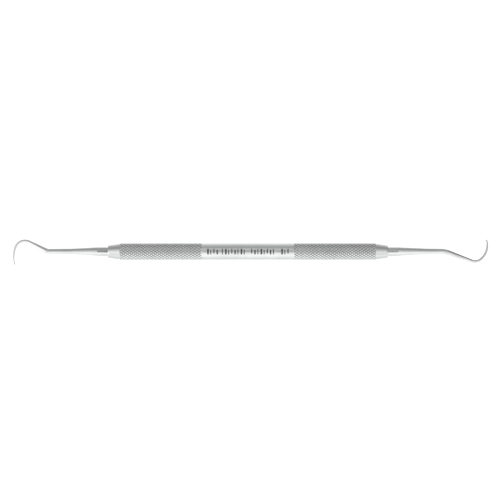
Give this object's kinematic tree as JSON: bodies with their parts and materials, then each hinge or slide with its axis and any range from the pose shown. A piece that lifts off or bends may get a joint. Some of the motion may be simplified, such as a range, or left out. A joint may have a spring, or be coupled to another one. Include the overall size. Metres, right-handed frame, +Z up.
{
  "type": "dental explorer",
  "caption": "Double-ended dental explorer: knurled hollow steel handle with a plain centre band, and a fine hooked tip pressed into each end.",
  "frame": {"origin": "on the handle's axis at the middle of the plain centre band, which is the middle of the handle", "axes": "+X along the handle towards the right-hand working end; +Z up when the instrument lies on a table on its handle, with its left-hand tip just clear of the table, so that the plane of the hooks leans about X by about 31 degrees"},
  "size_m": [0.175, 0.0083, 0.006],
  "materials": {
    "knurled_steel": "machine-knurled grips and a fine satin centre band",
    "satin_steel": "fine-turned satin",
    "polished_steel": "hand-polished surgical steel"
  },
  "bodies": {
    "root": {"handle_tube": "knurled_steel", "cone_left": "satin_steel", "cone_right": "satin_steel", "working_end_left": "polished_steel", "working_end_right": "polished_steel"}
  },
  "joints": []
}
